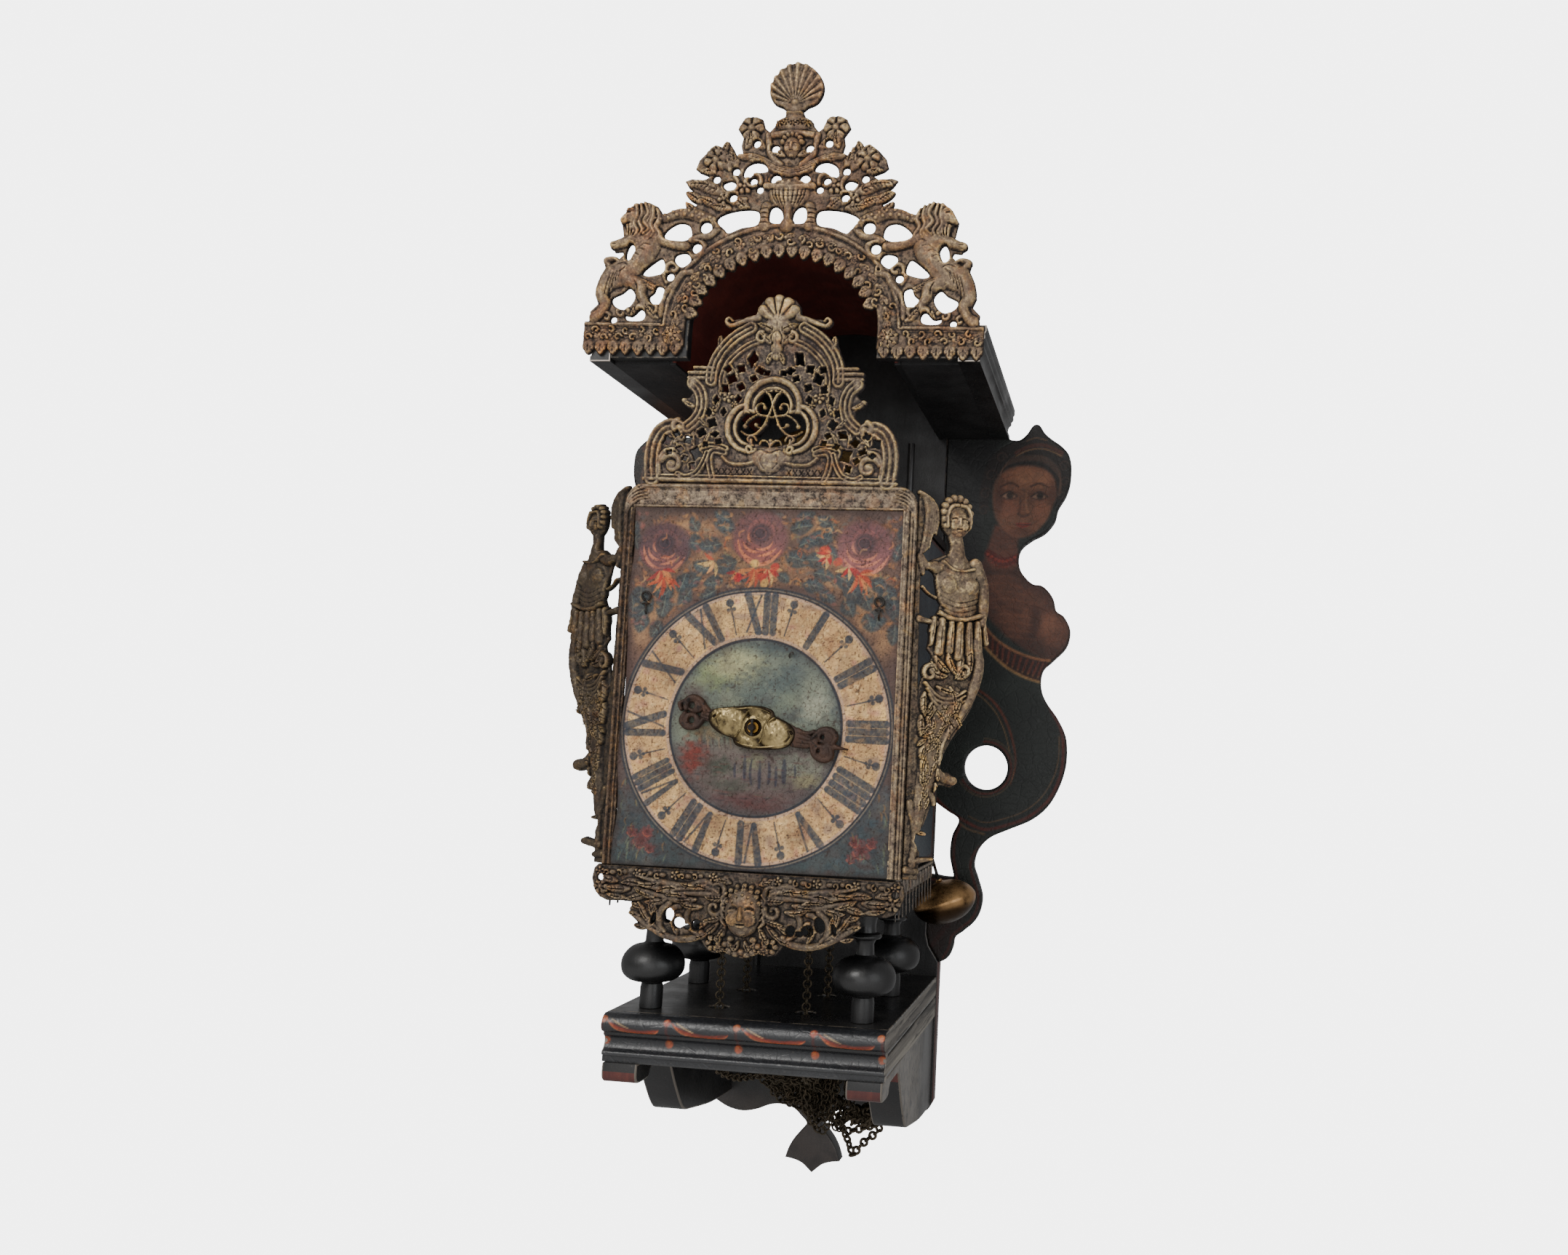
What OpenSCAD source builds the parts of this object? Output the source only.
// Hooded wall clock on a bracket, verge movement with short pendulum, one hour hand.
// Frame: X to the right seen from the front, Y towards the wall, Z up.
// Origin: centre of the hanging hole, in the back face of the backboard.

/* [Dial] */
// Width of the painted dial plate
dial_w = 168; // [166:1:169]
// Thickness of the dial plate
dial_t = 1.6; // [1.2:0.1:1.6]
// Angle of the hour hand below three o'clock, in degrees
hand_angle = 11; // [0:1:30]

/* [Case] */
// Thickness of the backboard
board_t = 13; // [10:1:13]
// Thickness of the two painted wing boards
wing_t = 10; // [8:1:10]
// Radius of the hanging hole
hang_r = 4; // [3:0.5:5]
// Half width of the shelf
shelf_hw = 87; // [86:1:90]
// Radius of the chain holes in shelf and stool
chain_hole_r = 6; // [5:0.5:7]
// Radius of the round hole in the wing coils
coil_r = 16.5; // [14:0.5:17]

/* [Movement] */
// Gear module of the great wheels
great_m = 1.25; // [1.25:0.01:1.25]
// Distance from dial centre down to the great wheel arbors
great_drop = 30; // [30:1:30]
// Rest angle of the pendulum to the right, in degrees
swing = 19; // [10:1:22]
// Pendulum length from verge axis to bob centre
pend_l = 291; // [284:1:294]
// Largest radius of the pendulum bob
bob_r = 23; // [20:1:24]
// Height of the pendulum bob
bob_h = 30; // [26:1:32]
// Radial running clearance of arbors and pins
fit = 0.05; // [0.02:0.01:0.08]

/* [Side frets] */
// Angle by which the side frets are bent back
splay = 30; // [24:1:32]

/* [Hidden] */
$fn = 64;
yw = -board_t;         // front face of the backboard
yd = -218;             // front face of the dial plate
zc = -275;             // height of the dial centre
zg = zc - great_drop;  // height of the great wheel arbors
zv = -117;             // height of the verge axis
zs = -450;             // top of the shelf

// --- helpers -------------------------------------------------------------
// outline in X and Z, extruded from y0 to y1
module xz(y0, y1) { translate([0, y1, 0]) rotate([90, 0, 0]) linear_extrude(y1 - y0) children(); }
// outline in Y and Z, extruded from x0 to x1
module yz(x0, x1) { translate([x0, 0, 0]) rotate([90, 0, 90]) linear_extrude(x1 - x0) children(); }
// round bar along Y
module ycyl(r, y0, y1, x = 0, z = 0, n = 48) { translate([x, y1, z]) rotate([90, 0, 0]) cylinder(r = r, h = y1 - y0, $fn = n); }
module zcyl(r, z0, z1, x = 0, y = 0, n = 48) { translate([x, y, z0]) cylinder(r = r, h = z1 - z0, $fn = n); }
module box(x0, x1, y0, y1, z0, z1) { translate([x0, y0, z0]) cube([x1 - x0, y1 - y0, z1 - z0]); }
module both() { children(); mirror([1, 0, 0]) children(); }
// smooth closed curve through hand-set points
function cr(a, b, c, d, t) = 0.5 * ((2 * b) + (c - a) * t + (2 * a - 5 * b + 4 * c - d) * t * t + (3 * b - a - 3 * c + d) * t * t * t);
function smooth(p, n = 3) = let (k = len(p)) [for (i = [0:k - 1], j = [0:n - 1]) cr(p[(i + k - 1) % k], p[i], p[(i + 1) % k], p[(i + 2) % k], j / n)];
// smooth open curve
function smoo(p, n = 3) = let (k = len(p)) concat([for (i = [0:k - 2], j = [0:n - 1]) cr(p[max(i - 1, 0)], p[i], p[i + 1], p[min(i + 2, k - 1)], j / n)], [p[k - 1]]);
function flip(p) = [for (i = [len(p) - 1:-1:0]) [-p[i][0], p[i][1]]];
function ell(a, b, z0, t0, t1, n) = [for (i = [0:n]) let (t = t0 + (t1 - t0) * i / n) [a * cos(t), z0 + b * sin(t)]];
// gear outline: n teeth, module m, phase angle ph, tooth width factor w, addendum ad, dedendum de
function gear_pts(n, m, ph, w, ad, de) = [for (i = [0:n - 1]) let (a = 360 * i / n + ph, rp = m * n / 2,
    hw = 90 / n * w, rr = rp - de * m, rt = rp + ad * m)
  each [[rr, a - hw * 1.25], [rp, a - hw], [rt, a - hw * 0.45], [rt, a + hw * 0.45], [rp, a + hw], [rr, a + hw * 1.25]]];
function pol(p) = [for (q = p) [q[0] * cos(q[1]), q[0] * sin(q[1])]];
module gear(n, m, y0, y1, z, bore, ph = 0, w = 0.8, ad = 0.8, de = 1.15) {
  translate([0, 0, z]) difference() {
    xz(y0, y1) polygon(pol(gear_pts(n, m, ph, w, ad, de)));
    ycyl(bore, y0 - 1, y1 + 1);
  }
}
// crossings of a wheel: windows between four arms
module windows(r0, r1, y0, y1, z, arm = 3) {
  translate([0, 0, z]) difference() {
    difference() { ycyl(r1, y0 - 1, y1 + 1); ycyl(r0, y0 - 2, y1 + 2); }
    box(-arm / 2, arm / 2, y0 - 3, y1 + 3, -r1 - 2, r1 + 2);
    box(-r1 - 2, r1 + 2, y0 - 3, y1 + 3, -arm / 2, arm / 2);
  }
}

// --- case ----------------------------------------------------------------
board_side = [[78, -50], [78, -420], [80, -428], [88, -440], [88, -540]];
board_foot = smoo([[88, -540], [84, -546], [76, -550], [66, -555], [55, -557], [44, -555], [34, -551], [25, -550],
  [16, -552], [10, -557], [5.5, -562], [9, -567], [14, -573], [18, -580], [20.5, -587.5]], 3);
board_tip = smoo([[20.5, -587.5], [14, -588.5], [8, -590.5], [4, -593.5], [0, -597]], 3);
module backboard() {
  color([0.08, 0.08, 0.09]) difference() {
    xz(yw, 0) polygon(concat(ell(75, 65, -24, 90, 0, 12), [[78, -24]], board_side,
      [for (i = [1:len(board_foot) - 1]) board_foot[i]], [for (i = [1:len(board_tip) - 2]) board_tip[i]],
      flip(concat([[78, -24]], board_side, [for (i = [1:len(board_foot) - 1]) board_foot[i]],
        [for (i = [1:len(board_tip) - 1]) board_tip[i]])), flip(ell(75, 65, -24, 84, 0, 11))));
    ycyl(hang_r, yw - 1, 1);
  }
}
wing_out = smoo([[122, -47], [134, -45.5], [139, -40], [146, -33.5], [152, -40], [158, -45], [167, -51.5], [172.5, -60],
  [173, -76], [170, -88], [164.5, -98], [162, -108], [155, -117], [145.5, -122.5], [137.5, -129.5], [135.5, -138],
  [138, -147], [146.5, -156], [155, -158], [162.5, -166], [165.5, -176], [172, -181], [176.5, -191], [174, -203.5],
  [164.5, -214], [157, -222], [156, -234], [160, -244.5], [169.5, -257.5], [176, -271.5], [176.8, -290], [172.5, -307],
  [164.5, -322], [153, -332.5], [137, -340], [122.5, -347], [114, -356], [111, -367.5], [114, -377], [118, -390],
  [117, -400.5], [113, -409], [105.5, -416], [99, -421.5], [97.5, -429], [94.5, -436], [89, -439.5]], 2);
wing_in = concat([[78, -376.2], [83, -376.4], [89, -377.3], [96.2, -377.6]], smoo([[96.2, -375], [93, -361.5], [94, -347],
  [98.5, -335], [90, -329], [80, -322.5]], 2));
module wing_right() {
  color([0.1, 0.11, 0.1]) difference() {
    xz(yw, yw + wing_t) polygon(concat([[78, -47]], wing_out, [[88, -440], [80, -428], [78, -420]], wing_in, [[78, -321]]));
    ycyl(coil_r, yw - 1, yw + wing_t + 1, 117, -295.5);
  }
}
module wing_left() { mirror([1, 0, 0]) wing_right(); }
module bead_mouldings() {
  color([0.12, 0.12, 0.13]) both() intersection() {
    zcyl(2.6, zs, -50, 50, yw, 24);
    box(44, 56, yw - 4, yw, zs, -50);
  }
}
module hood_front_board() {
  color([0.1, 0.09, 0.09]) xz(-211, -203) polygon(concat([[112, -24]], ell(75, 65, -24, 0, 180, 30), [[-112, -24], [-112, -44],
    [-61, -44]], ell(61, 51, -24, 180, 0, 30), [[61, -44], [112, -44]]));
}
module hood_barrel_roof() {
  color([0.32, 0.1, 0.07]) xz(-203, yw) polygon(concat([[71, -46], [75, -46]], ell(75, 65, -24, 0, 180, 30),
    [[-75, -46], [-71, -46]], ell(71, 61, -24, 180, 0, 30)));
}
module hood_shoulder_boards() {
  color([0.11, 0.11, 0.12]) both() { box(75, 112, -203, yw, -27, -23); box(75, 112, -203, yw, -46, -42); }
}
cornice = concat([[112, -23], [129, -23], [129, -27]], smoo([[128, -28.5], [128.2, -31], [126.8, -33]], 3),
  smoo([[126.8, -35], [125, -37], [124.4, -40], [125, -42.5]], 3), [[125.6, -43], [125.6, -46], [112, -46]]);
module hood_cornice_right() { color([0.13, 0.13, 0.14]) xz(-211, yw) polygon(cornice); }
module hood_cornice_left() { mirror([1, 0, 0]) hood_cornice_right(); }

// crest: scalloped band, two lions, birds and flowers, basket and a shell
crest_half = smoo([[128, -24], [124, -18], [126, -13], [121, -7], [122, -1], [116, 1], [117, 9], [116, 17], [111, 19],
  [107, 24], [113, 27], [111, 32], [106, 33], [107, 42], [104, 51], [96, 57], [88, 56], [82, 48], [74, 52], [62, 54],
  [57, 60], [66, 68], [64, 72], [56, 72], [61, 79], [57, 87], [51, 93], [44, 96], [38, 95], [35, 88], [32, 92], [35, 103],
  [30, 111], [21, 111], [17, 106], [12, 110], [7, 114], [8, 118], [15, 122], [18, 131], [15, 140], [8, 146], [0, 148]], 2);
// lower edge of the band, a row of lobes
function lobes(p, q, n, d) = [for (i = [0:n - 1], k = [0:3]) let (t = (i + k / 4) / n, w = abs(sin(180 * k / 4)), l = norm(q - p),
  nx = (q[1] - p[1]) / l, nz = -(q[0] - p[0]) / l) [p[0] + (q[0] - p[0]) * t + nx * d * w, p[1] + (q[1] - p[1]) * t + nz * d * w]];
band_arch = [for (i = [0:10], k = [0:3]) let (t = 180 - 180 * (i + k / 4) / 11, w = abs(sin(180 * k / 4)))
  [(59 - 4 * w) * cos(t), -24 + (49 - 4 * w) * sin(t)]];
module crest_gaps() {
  polygon(smooth([[20, 43], [21, 49], [34, 50], [44, 49], [45, 43], [40, 37], [30, 40]], 2));
  polygon(smooth([[5, 42], [4, 49], [8, 53], [11, 48], [10, 41.5]], 2));
  polygon(smooth([[66, 36], [65, 41], [72, 41], [79, 36], [76, 32], [68, 33]], 2));
  polygon(smooth([[96, 25], [98, 29], [102, 25], [108, 14], [104, 12], [98, 18]], 2));
  polygon(smooth([[95, -5], [99, -1], [108, -5], [110, -9], [103, -14], [97, -10]], 2));
  polygon(smooth([[78, -5], [81, 0], [86, -5], [84, -11], [79, -9]], 2));
  polygon(smooth([[78, 12], [80, 18], [89, 11], [84, 8]], 2));
  polygon(smooth([[18, 76], [20, 82], [27, 80], [30, 73], [26, 70]], 2));
  for (c = [[53, 39, 4], [57, 25, 3], [9, 71, 3.5], [20, 64, 2.2], [36, 58, 2.8], [40, 67, 3.6], [48, 70, 2.4],
    [24, 70, 2.2], [35, 76, 2.4], [11, 91, 2.6], [23, 95, 2.4], [90, -17, 3.5], [109, -21, 2], [68, 18, 3.4], [74, 7, 2.2]])
    translate([c[0], c[1]]) circle(r = c[2], $fn = 16);
}
module hood_crest() {
  color([0.45, 0.36, 0.24]) difference() {
    xz(-214, -211) polygon(concat([[128, -24]], crest_half, flip(crest_half), [[-128, -24], [-128, -42]],
      lobes([-127, -42], [-61, -42], 6, 4), [[-61, -42]], band_arch, [[61, -42]], lobes([61, -42], [127, -42], 6, 4), [[127, -42], [128, -42]]));
    xz(-215, -210) { crest_gaps(); mirror([1, 0]) crest_gaps(); }
  }
}

// --- shelf ---------------------------------------------------------------
module shelf_board() {
  color([0.09, 0.09, 0.1]) difference() {
    box(-shelf_hw, shelf_hw, -203, yw, zs - 29, zs);
    both() for (y = [-170, -112]) zcyl(chain_hole_r, zs - 30, zs + 1, 28, y);
  }
}
nose = concat([[-203, zs]], smoo([[-209, zs], [-212.5, zs - 2], [-214.5, zs - 6], [-213.5, zs - 9.5], [-210.5, zs - 11]], 4),
  [[-209.5, zs - 11.5], [-209.5, zs - 13]], smoo([[-207.5, zs - 14.5], [-206.8, zs - 17], [-208, zs - 20.5], [-210.5, zs - 22.5]], 3),
  [[-211, zs - 23], [-211, zs - 24.6], [-209.4, zs - 24.8], [-209.4, zs - 29], [-203, zs - 29]]);
module shelf_moulding() { color([0.13, 0.13, 0.15]) yz(-shelf_hw, shelf_hw) polygon(nose); }
bracket = concat([[yw, zs - 29], [-211, zs - 29]], smoo([[-211.5, zs - 34], [-210.5, zs - 38.5], [-206, zs - 41], [-194, zs - 41.5],
  [-189, zs - 40.5], [-187.5, zs - 37.5]], 2), [[-184, zs - 35], [-157, zs - 35]], smoo([[-154, zs - 37], [-150, zs - 43], [-143, zs - 53],
  [-135, zs - 63], [-126, zs - 73], [-117, zs - 79.5], [-100, zs - 83], [-80, zs - 86.5], [-60, zs - 89.5], [-36, zs - 91.5], [yw, zs - 92.5]], 2));
module shelf_bracket_right() { color([0.12, 0.12, 0.13]) yz(64, 86) polygon(bracket); }
module shelf_bracket_left() { mirror([1, 0, 0]) shelf_bracket_right(); }
module stool_top() {
  color([0.08, 0.08, 0.08]) difference() {
    box(-84, 84, -208, -70, -378, -366);
    both() for (y = [-170, -112]) zcyl(chain_hole_r, -379, -365, 28, y);
  }
}
// turned leg: stem, collar, neck, ball knop, lower stem
leg = concat([[0, 0], [7, 0], [7, 12], [6.4, 15]], smoo([[8, 16.4], [14, 17.5], [18.4, 21.5], [19.5, 27.5], [17.6, 33], [13, 37.5], [7, 39.2]], 3),
  [[5.6, 40.5], [5.2, 47], [6.5, 49.5]], smoo([[9, 50.2], [9.8, 51.6], [9, 53]], 2), [[6.5, 54], [6, 58], [7, 64], [8, 68], [8, 72], [0, 72]]);
module stool_legs() {
  color([0.07, 0.07, 0.07]) for (x = [-67, 67], y = [-186, -96]) translate([x, y, zs]) rotate_extrude($fn = 48) polygon(leg);
}

// --- movement frame ------------------------------------------------------
module bottom_plate() {
  color([0.2, 0.2, 0.21]) difference() {
    box(-88, 88, -214, -62, -366, -361);
    both() for (y = [-170, -112]) zcyl(chain_hole_r, -367, -360, 28, y);
    both() zcyl(1.2, -363, -360, 87, -66, 24);
    zcyl(2.5 + fit, -363, -360, 56, -150);
  }
}
module top_plate() {
  color([0.2, 0.2, 0.21]) difference() {
    box(-88, 88, -214, -62, -141, -136);
    zcyl(2 + fit, -142, -135, 0, -168.8);
    both() zcyl(1.2, -142, -139, 87, -66, 24);
    zcyl(2.5 + fit, -142, -135, 56, -150);
  }
}
pillar = [[0, 0], [5.5, 0], [5.5, 5], [4, 7], [4, 52], [5.5, 54], [5.5, 57], [4, 59], [3.6, 106], [5, 108], [5, 112], [3.6, 114], [4, 161],
  [5.5, 163], [5.5, 166], [4, 168], [4, 213], [5.5, 215], [5.5, 220], [0, 220]];
module corner_pillars() {
  color([0.55, 0.42, 0.2]) for (x = [-74, 74], y = [-202, -76]) translate([x, y, -361]) rotate_extrude($fn = 32) polygon(pillar);
}
module train_bars() {
  color([0.25, 0.25, 0.26]) difference() {
    union() {
      box(-9, 9, -206, -203, -361, -141);
      box(-9, 9, -143, -140, -361, -141);
      box(-9, 9, -84, -81, -361, -141);
    }
    ycyl(2 + fit, -207, -139, 0, zc + 5);
    ycyl(2 + fit, -207, -139, 0, zc + 29);
    ycyl(3 + fit, -207, -139, 0, zg);
    ycyl(3 + fit, -141, -80, 0, zg);
    for (z = [5, 29, 47]) ycyl(2 + fit, -141, -80, 0, zc + z);
  }
}
// fixed studs that carry the hour wheel and the count wheel
module arbor_studs() {
  color([0.4, 0.4, 0.42]) {
    difference() {
      ycyl(2, -230, -206, 0, zc);
      zcyl(0.8, zc - 4, zc + 4, 0, -227.5, 24);
    }
    ycyl(2, -81, -74, 0, zc);
  }
}
module dial_plate() {
  color([0.62, 0.48, 0.32]) difference() {
    box(-dial_w / 2, dial_w / 2, yd, yd + dial_t, -360, -141.5);
    ycyl(4.5, yd - 1, yd + 5, 0, zc);
  }
}
frame_pts = concat([[-92, -361], [-92, -140]], smoo([[-92, -136], [-90, -130], [-86, -126.5], [-82, -125.5]], 2), [[82, -125.5]],
  smoo([[82, -125.5], [86, -126.5], [90, -130], [92, -136]], 2), [[92, -361], [86.5, -361], [86.5, -141], [-86.5, -141], [-86.5, -361]]);
module dial_frame() {
  color([0.5, 0.4, 0.27]) {
    xz(-218, -214) polygon(frame_pts);
    both() for (z = [-200, -340]) box(83, 86.5, -216.4, -214, z - 6, z + 6);
  }
}
// top fret: stepped and scrolled outline with pierced field
fret_half = smoo([[82, -125.5], [80, -110], [79, -100], [76, -91], [70, -86.5], [62, -86], [57, -88], [52, -84], [50, -77], [54, -74],
  [56, -69], [52, -64], [55, -57], [52, -52], [46, -50.5], [41, -52], [39, -42], [38, -33], [34, -31.5], [31, -35], [24, -30], [17, -26],
  [24, -23], [27, -20.5], [20, -20], [13, -19], [9, -12], [6, -8], [0, -6.5]], 2);
module fret_gaps() {
  for (c = [[15, -40, 3], [19, -49, 2.6], [28, -48, 2.6], [24, -56, 2.6], [31, -58, 2.4], [21, -63, 1.8], [36, -72, 2], [38, -86, 3],
    [33, -91, 1.8], [45, -93, 2.4], [53, -98, 2.8], [62, -97, 2.8], [57, -106, 2.6], [46, -107, 3.4], [49, -68, 2.2], [66, -103, 2]])
    translate([c[0], c[1]]) circle(r = c[2], $fn = 16);
}
module top_fret() {
  color([0.5, 0.4, 0.28]) {
    difference() {
      xz(-218, -215) polygon(concat(fret_half, flip(fret_half)));
      xz(-219, -214) {
        fret_gaps(); mirror([1, 0]) fret_gaps();
        translate([0, -75]) circle(r = 12.5, $fn = 32);
        translate([-13, -90]) circle(r = 10.5, $fn = 32);
        translate([13, -90]) circle(r = 10.5, $fn = 32);
      }
    }
    xz(-217.5, -215.5) { translate([-0.9, -103]) square([1.8, 42]); translate([-24, -90.8]) square([48, 1.6]); }
  }
}
bfret_half = smoo([[95, -361], [97, -366], [96, -373], [92, -380], [85, -382.5], [72, -383], [72, -388], [68, -394], [60, -399], [50, -403],
  [40, -404.5], [29, -402], [24, -401], [23, -406], [18, -409.5], [10, -408], [4, -410.5], [0, -411]], 2);
module bfret_gaps() {
  for (c = [[46, -391, 4.5], [38, -393, 3.4], [55, -391, 2], [91, -370, 1.8], [19, -404, 2]]) translate([c[0], c[1]]) circle(r = c[2], $fn = 16);
}
module bottom_fret() {
  color([0.42, 0.34, 0.24]) difference() {
    xz(-218, -214.5) polygon(concat([[-95, -361], [95, -361]], bfret_half, flip(bfret_half)));
    xz(-219, -213) { bfret_gaps(); mirror([1, 0]) bfret_gaps(); }
  }
}
// side fret: a draped figure ending in a fish tail, outline in its own plane
figure = smooth([[6, -128], [12, -134], [15, -146], [13, -160], [11, -168], [18, -171], [25, -164], [24, -156], [19, -150], [19, -140], [24, -132],
  [31, -129], [38, -132], [40, -142], [38, -154], [34, -160], [37, -167], [44, -173], [49, -184], [52, -197], [50, -208], [50, -222],
  [50, -238], [47, -252], [40, -266], [32, -278], [27, -288], [26, -295], [34, -300], [35, -305], [29, -306], [24, -305], [22, -313], [20, -322],
  [19, -330], [16, -335], [16, -346], [24, -349], [20, -352], [14, -354], [13, -361], [6, -361], [6, -300], [6, -250], [6, -215], [6, -175]], 2);
module figure_gaps() {
  polygon(smooth([[9, -176], [17, -178], [18, -190], [17, -202], [12, -206], [8, -198]], 2));
  polygon(smooth([[8, -216], [13, -217], [16, -222], [14, -230], [8, -236]], 2));
}
module side_fret_right() {
  color([0.45, 0.36, 0.22]) {
    translate([88, -217, 0]) rotate([0, 0, splay]) difference() {
      xz(0, 2.5) polygon(figure);
      xz(-1, 4) figure_gaps();
    }
    for (z = [-150, -356]) box(88, 94, -214, -211.6, z, z + 8);
  }
}
module side_fret_left() { mirror([1, 0, 0]) side_fret_right(); }
module comb_fringes() {
  color([0.4, 0.34, 0.25]) both() {
    box(88, 90, -214, -68, -374, -361);
    for (i = [0:11]) box(88.3, 89.7, -212.6 + 12.4 * i, -208.2 + 12.4 * i, -386, -374);
  }
}
// side door: sheet with a rolled hinge barrel at the back and a small knob
module side_door_right() {
  color([0.24, 0.28, 0.33]) difference() {
    union() {
      box(86, 88, -190, -67, -359.5, -142.5);
      zcyl(2.2, -359.5, -142.5, 87, -66, 32);
      translate([88, -180, -250]) rotate([0, 90, 0]) cylinder(r = 1.4, h = 3, $fn = 24);
      translate([92, -180, -250]) sphere(r = 2.6, $fn = 24);
    }
    zcyl(1.2 + fit, -361, -141, 87, -66, 32);
  }
}
module side_door_left() { mirror([1, 0, 0]) side_door_right(); }
module door_hinge_pins() { color([0.3, 0.3, 0.3]) both() zcyl(1.2, -363, -139, 87, -66, 24); }
module dial_hooks() {
  color([0.15, 0.12, 0.1]) for (x = [-74, 72]) translate([x, yd - 0.7, -197]) {
    rotate([90, 0, 0]) rotate_extrude($fn = 32) translate([2.6, 0]) circle(r = 0.7, $fn = 16);
    ycyl(0.6, -0.9, 0.7, 0, 2.6, 16);
    zcyl(0.7, -12, -2.6, 0, 0, 16);
    translate([0, 0, -5]) rotate([0, 90, 0]) translate([0, 0, -2.5]) cylinder(r = 0.6, h = 5, $fn = 16);
  }
}

// --- bell ----------------------------------------------------------------
bell_out = smoo([[3, -64], [12, -64.5], [22, -67], [30, -72], [35, -80], [38, -90], [42, -98]], 3);
bell_inn = smoo([[40, -98], [36, -90.5], [33, -81], [28.5, -73.8], [21, -69], [12, -66.5], [3, -66]], 3);
module bell() { color([0.5, 0.4, 0.22]) translate([0, -100, 0]) rotate_extrude($fn = 64) polygon(concat(bell_out, bell_inn)); }
module bell_stand() {
  color([0.22, 0.22, 0.23]) {
    zcyl(3, -136, -104, 20, -100);
    box(-3, 23, -103, -97, -109, -103);
    zcyl(5, -103, -66.2, 0, -100);
    zcyl(3, -66, -60, 0, -100);
    zcyl(5, -64, -60, 0, -100, 6);
  }
}
module bell_hammer() {
  color([0.25, 0.25, 0.26]) {
    zcyl(2.5, -363, -94, 56, -150);
    translate([56, -150, -97]) rotate([0, 0, 98]) translate([0, -1.5, -2]) cube([42, 3, 4]);
    translate([50.4, -110, -97]) sphere(r = 5, $fn = 24);
    translate([56, -150, -252]) rotate([0, 0, 126]) translate([0, -1.5, -2]) cube([62, 3, 4]);
  }
}

// --- going train ---------------------------------------------------------
module going_great_wheel() {
  color([0.62, 0.5, 0.24]) difference() {
    gear(48, great_m, -152, -149, zg, 3);
    windows(9, 24, -152, -149, zg, 4);
  }
}
module going_arbor() {
  color([0.4, 0.4, 0.42]) { ycyl(3, -213, -141.5, 0, zg); gear(12, 1, -213, -208, zg, 2.5, 0, 0.7, 0.7, 1.1); }
}
module sprocket(y0, y1) {
  difference() {
    union() {
      ycyl(22, y0, y1, 0, zg);
      ycyl(24.5, y0, y0 + 2, 0, zg);
      ycyl(24.5, y1 - 2, y1, 0, zg);
    }
    ycyl(3, y0 - 1, y1 + 1, 0, zg);
  }
}
module going_sprocket() { color([0.35, 0.3, 0.22]) sprocket(-175, -165); }
module second_wheel() {
  color([0.62, 0.5, 0.24]) {
    ycyl(2, -205.8, -141.8, 0, zc + 5);
    gear(8, great_m, -155, -146, zc + 5, 1.5, 22.5, 0.7, 0.6, 1.15);
    difference() { gear(40, 1, -190, -188, zc + 5, 1.9); windows(6, 16, -190, -188, zc + 5); }
  }
}
module contrate_wheel() {
  color([0.62, 0.5, 0.24]) {
    ycyl(2, -205.8, -141.8, 0, zc + 29);
    gear(8, 1, -193, -185, zc + 29, 1.5, 22.5, 0.7, 0.6, 1.15);
    difference() { ycyl(15.4, -176, -174, 0, zc + 29); ycyl(1.9, -177, -173, 0, zc + 29); windows(5, 12, -176, -174, zc + 29, 2.5); }
    for (i = [0:31]) translate([0, 0, zc + 29]) rotate([0, 360 * i / 32, 0]) box(-0.5, 0.5, -174, -171.8, 13.6, 15.3);
  }
}
module crown_wheel() {
  color([0.6, 0.48, 0.22]) translate([0, -168.8, 0]) {
    zcyl(2, -240, -121.5);
    difference() { zcyl(4.14, -235.6, -227.6); for (i = [0:7]) rotate([0, 0, 45 * i]) translate([0, 4.3, -236]) cylinder(r = 1.45, h = 9, $fn = 24); }
    zcyl(14.5, -131.5, -130);
    difference() { zcyl(14.5, -131.5, -127); zcyl(13.3, -130, -126); }
    for (i = [0:14]) rotate([0, 0, 24 * i]) translate([13.4, 0, -127]) rotate([90, 0, 90]) linear_extrude(1) polygon([[-1.6, 0], [1, 0], [1, 3]]);
  }
}
module verge() {
  color([0.4, 0.4, 0.42]) {
    ycyl(1.5, -192, -46, 0, zv);
    for (s = [[-183.4, -45], [-154.6, 45]]) translate([0, s[0], zv]) rotate([0, s[1], 0]) box(-0.6, 0.6, -1.6, 1.6, -4.2, -1);
    translate([0, 0, zv]) rotate([0, -swing, 0]) {
      box(-1.5, 1.5, -57, -54, -48, -1);
      difference() { box(-4.5, 4.5, -57, -36, -51, -48); box(-1.6, 1.6, -47, -35, -52, -47); }
    }
  }
}
module verge_cocks() {
  color([0.45, 0.38, 0.22]) {
    difference() { box(-6, 6, -194, -190, -136, -112); ycyl(1.5 + fit, -195, -189, 0, zv, 32); }
    difference() { box(-6, 6, -74, -70, -136, -112); ycyl(1.5 + fit, -75, -69, 0, zv, 32); }
    difference() { box(-4, 4, -172.4, -143, -241.6, -238.8); zcyl(2 + fit, -242, -238, 0, -168.8, 32); }
  }
}
module pendulum_rod() {
  color([0.35, 0.33, 0.3]) translate([0, 0, zv]) rotate([0, -swing, 0]) {
    difference() { ycyl(3.4, -44, -40, 0, 0, 32); ycyl(1.5, -45, -39, 0, 0, 32); }
    zcyl(1.1, -pend_l + bob_h / 2, -3, 0, -42, 24);
  }
}
bob = concat([[0, -bob_h / 2]], [for (i = [1:9]) let (t = -90 + 18 * i) [bob_r * cos(t), bob_h / 2 * sin(t)]], [[2, bob_h / 2], [0, bob_h / 2]]);
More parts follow.
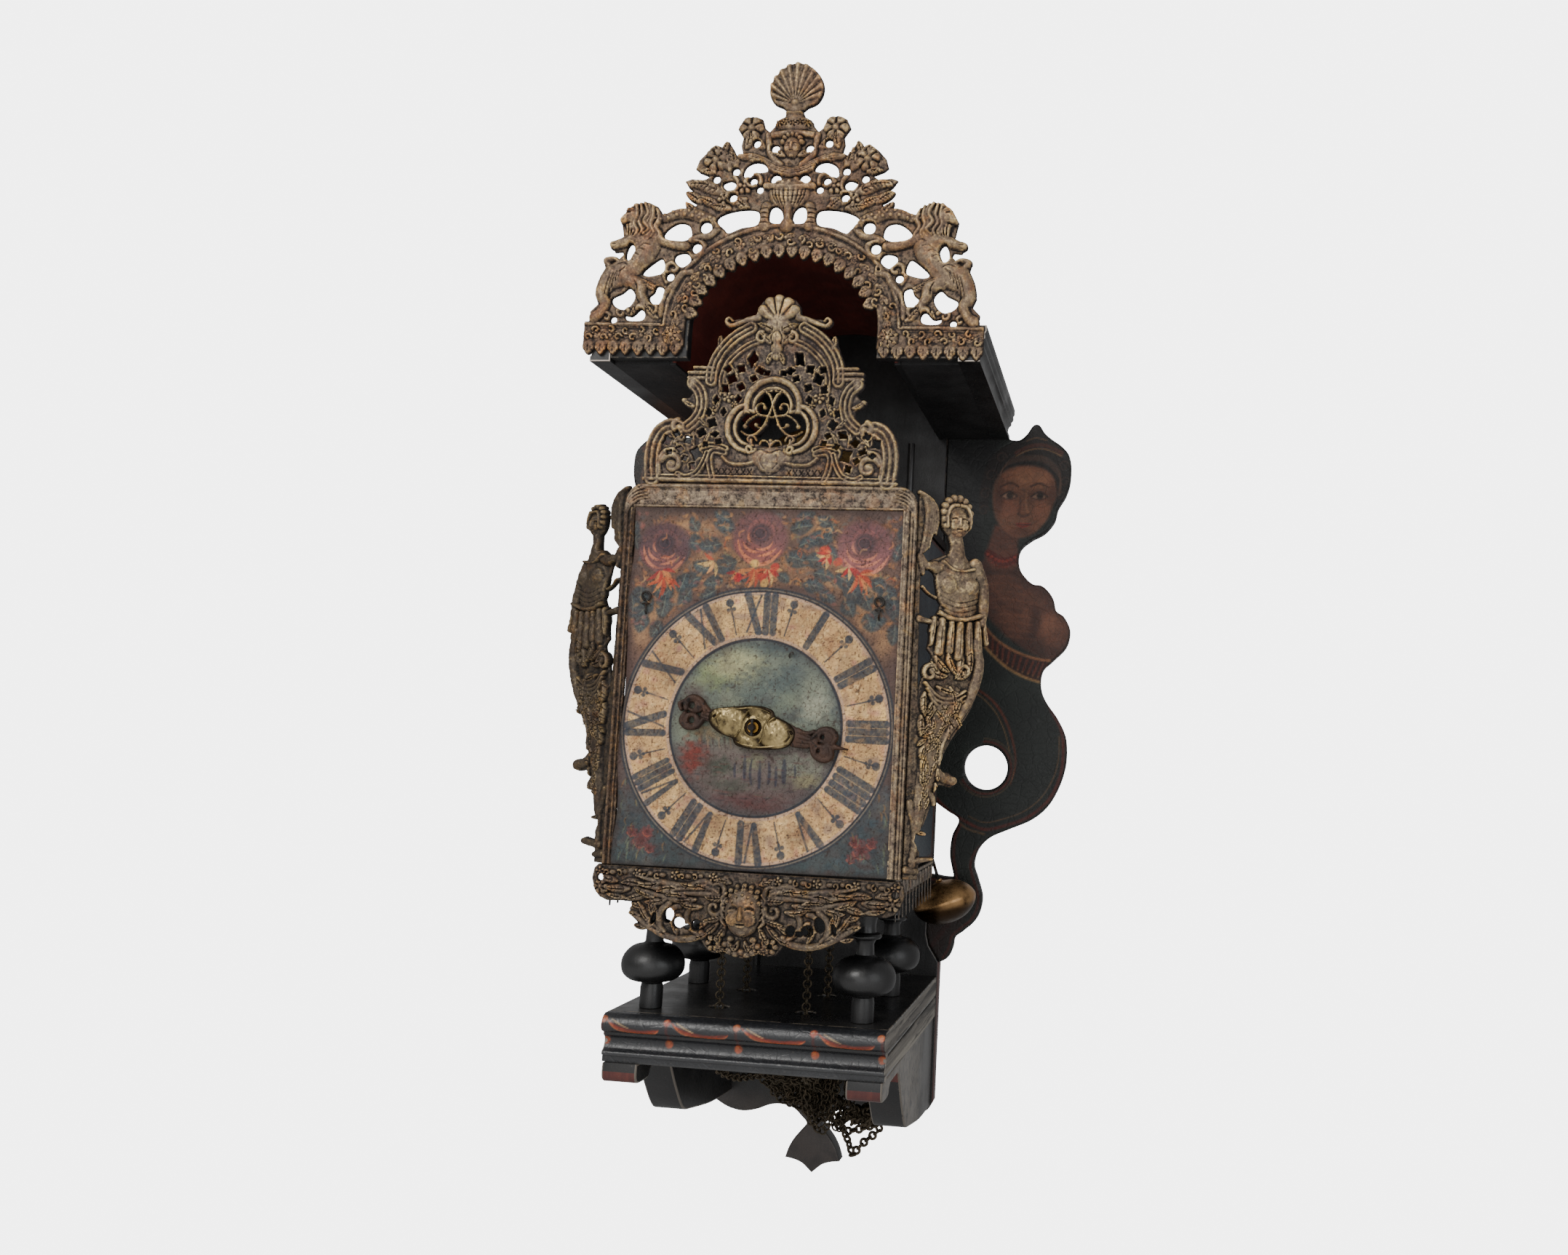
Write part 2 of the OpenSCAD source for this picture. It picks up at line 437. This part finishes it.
module pendulum_bob() {
  color([0.62, 0.46, 0.2]) translate([0, 0, zv]) rotate([0, -swing, 0]) translate([0, -42, -pend_l]) rotate_extrude($fn = 64) polygon(bob);
}

// --- hour hand -----------------------------------------------------------
module hour_wheel() {
  color([0.62, 0.5, 0.24]) difference() {
    union() { gear(48, 1, -212, -209.5, zc, 1, 3.75); ycyl(3.4, -225.5, -211, 0, zc); }
    windows(8, 19, -212, -209.5, zc, 3);
    ycyl(2 + fit, -230, -205, 0, zc);
  }
}
hand_pts = concat([[58, 0]], smoo([[50, 1], [49, 4], [47, 8], [42, 8.6], [38, 6], [36, 3.4], [28, 5], [22, 9], [12, 12], [0, 12.6], [-12, 12], [-22, 9],
  [-28, 4], [-32, 3.4], [-34, 7], [-38, 10.6], [-43, 9.4], [-46, 5], [-44, 0.5]], 2), smoo([[-46, -4], [-44, -9], [-38, -10.4], [-34, -7],
  [-32, -3.4], [-28, -4], [-22, -9], [-12, -12], [0, -12.6], [12, -12], [22, -9], [28, -5], [36, -3.4], [38, -6], [42, -8.6], [47, -8], [49, -4], [50, -1]], 2));
module hour_hand() {
  color([0.2, 0.15, 0.12]) translate([0, 0, zc]) rotate([0, hand_angle, 0]) difference() {
    xz(-222.4, -220.6) polygon(hand_pts);
    ycyl(3.4, -224, -219);
    for (c = [[43, 4, 1.6], [43, -4, 1.6], [-39, 5.4, 2], [-39, -5.4, 2]]) ycyl(c[2], -224, -219, c[0], c[1], 24);
  }
}
module hand_boss() {
  color([0.66, 0.54, 0.26]) translate([0, 0, zc]) rotate([0, hand_angle, 0]) difference() {
    union() {
      xz(-223.6, -222.4) polygon(smooth([[24, 0], [20, 8], [8, 11.5], [-8, 11.5], [-20, 9], [-24, 0], [-20, -8], [-8, -11.5], [8, -11.5], [20, -9]], 3));
      translate([0, -222.8, 0]) rotate([90, 0, 0]) rotate_extrude($fn = 48) polygon([[0, 0], [8, 0], [7, 1.4], [5.4, 2.2], [0, 2.2]]);
    }
    ycyl(3.4, -230, -220);
  }
}
module hand_pin() { color([0.3, 0.28, 0.25]) zcyl(0.8, zc - 5, zc + 5, 0, -227.5, 24); }

// --- striking train ------------------------------------------------------
module strike_great_wheel() {
  color([0.62, 0.5, 0.24]) difference() {
    gear(48, great_m, -92, -89, zg, 3);
    windows(9, 24, -92, -89, zg, 4);
  }
}
module strike_arbor() {
  color([0.4, 0.4, 0.42]) { ycyl(3, -139.5, -76, 0, zg); gear(12, 1, -80, -76, zg, 2.5, 0, 0.7, 0.7, 1.1); }
}
module strike_sprocket() { color([0.35, 0.3, 0.22]) sprocket(-117, -107); }
module pin_wheel() {
  color([0.62, 0.5, 0.24]) {
    ycyl(2, -141.2, -81.2, 0, zc + 5);
    gear(8, great_m, -95, -87, zc + 5, 1.5, 22.5, 0.7, 0.6, 1.15);
    difference() { gear(40, 1, -103, -101, zc + 5, 1.9); windows(6, 12, -103, -101, zc + 5); }
    for (i = [0:7]) ycyl(1, -101, -98, 15.5 * cos(45 * i), zc + 5 + 15.5 * sin(45 * i), 24);
  }
}
module warning_wheel() {
  color([0.62, 0.5, 0.24]) {
    ycyl(2, -141.2, -81.2, 0, zc + 29);
    gear(8, 1, -106, -99, zc + 29, 1.5, 22.5, 0.7, 0.6, 1.15);
    difference() { gear(32, 0.9, -132, -130, zc + 29, 1.9, 0, 0.8, 0.8, 1.15); windows(5, 11, -132, -130, zc + 29, 2.5); }
    ycyl(0.9, -130, -127, 0, zc + 29 - 12, 24);
  }
}
module fly() {
  color([0.5, 0.42, 0.25]) {
    ycyl(2, -140.8, -81.2, 0, zc + 47);
    gear(8, 0.9, -135, -127, zc + 47, 1.5, 22.5, 0.7, 0.6, 1.15);
    box(-12.5, 12.5, -122, -108, zc + 46.6, zc + 47.4);
  }
}
module count_wheel() {
  color([0.62, 0.5, 0.24]) difference() {
    gear(48, 1, -79.5, -77, zc, 2 + fit, 3.75);
    windows(7, 18, -79.5, -77, zc, 3);
  }
}

// --- driving chains ------------------------------------------------------
// plain stand-ins: half loop over the sprocket and two straight runs
module chain(y) {
  color([0.2, 0.18, 0.15]) {
    both() zcyl(2.6, -492, zg, 28, y, 16);
    intersection() {
      translate([0, y, zg]) rotate([90, 0, 0]) rotate_extrude($fn = 48) translate([28, 0]) circle(r = 2.6, $fn = 16);
      box(-35, 35, y - 5, y + 5, zg, zg + 40);
    }
  }
}
module chain_going() { chain(-170); }
module chain_strike() { chain(-112); }
module chain_bundle() {
  color([0.2, 0.18, 0.15]) {
    translate([16, -62, -520]) rotate_extrude($fn = 32) polygon([[0, 34], [16, 32], [22, 20], [22, -6], [17, -22], [9, -32], [0, -36]]);
    box(-30, 40, -174, -60, -500, -492);
    translate([40, -62, -552]) rotate([90, 0, 0]) rotate_extrude($fn = 32) translate([11, 0]) circle(r = 3, $fn = 12);
  }
}

backboard();
wing_left();
wing_right();
bead_mouldings();
hood_front_board();
hood_barrel_roof();
hood_shoulder_boards();
hood_cornice_left();
hood_cornice_right();
hood_crest();
shelf_board();
shelf_moulding();
shelf_bracket_left();
shelf_bracket_right();
stool_top();
stool_legs();
bottom_plate();
top_plate();
corner_pillars();
train_bars();
arbor_studs();
dial_plate();
dial_frame();
top_fret();
bottom_fret();
side_fret_left();
side_fret_right();
comb_fringes();
side_door_left();
side_door_right();
door_hinge_pins();
dial_hooks();
bell();
bell_stand();
bell_hammer();
going_great_wheel();
going_arbor();
going_sprocket();
second_wheel();
contrate_wheel();
crown_wheel();
verge();
verge_cocks();
pendulum_rod();
pendulum_bob();
hour_wheel();
hour_hand();
hand_boss();
hand_pin();
strike_great_wheel();
strike_arbor();
strike_sprocket();
pin_wheel();
warning_wheel();
fly();
count_wheel();
chain_going();
chain_strike();
chain_bundle();
